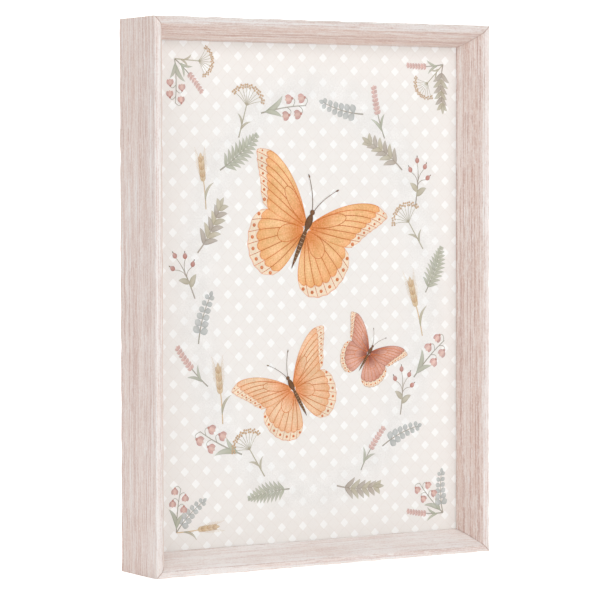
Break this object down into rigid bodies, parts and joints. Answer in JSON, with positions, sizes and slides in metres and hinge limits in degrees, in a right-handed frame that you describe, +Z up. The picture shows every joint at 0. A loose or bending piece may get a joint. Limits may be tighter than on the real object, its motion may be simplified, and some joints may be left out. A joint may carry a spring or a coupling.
{
  "type": "box-framed art print",
  "caption": "Deep lime-washed timber box frame, mitred at its corners, holding a recessed printed sheet on a backing board, with a sawtooth wall hanger.",
  "frame": {"origin": "centre of the bounding box's bottom face, on the surface that the frame stands on", "axes": "+Z up along the frame's height, -Y out of the picture towards the viewer, +X to the viewer's right"},
  "size_m": [0.326, 0.0624, 0.45],
  "materials": {
    "limed_timber": "matte pinkish-beige timber with white lime in its grain",
    "print_paper": "matte off-white paper with a watercolour print",
    "hardboard": "plain brown hardboard",
    "zinc_steel": "thin zinc-plated strip",
    "brassed_steel": "brass-plated pressed steel"
  },
  "bodies": {
    "root": {"rail_bottom": "limed_timber", "rail_top": "limed_timber", "stile_left": "limed_timber", "stile_right": "limed_timber", "print_sheet": "print_paper", "backing_board": "hardboard", "tab_bottom_1": "zinc_steel", "tab_bottom_2": "zinc_steel", "tab_top_1": "zinc_steel", "tab_top_2": "zinc_steel", "tab_left_1": "zinc_steel", "tab_left_2": "zinc_steel", "tab_right_1": "zinc_steel", "tab_right_2": "zinc_steel", "hanger_plate": "brassed_steel", "hanger_nail_left": "brassed_steel", "hanger_nail_right": "brassed_steel"}
  },
  "joints": []
}
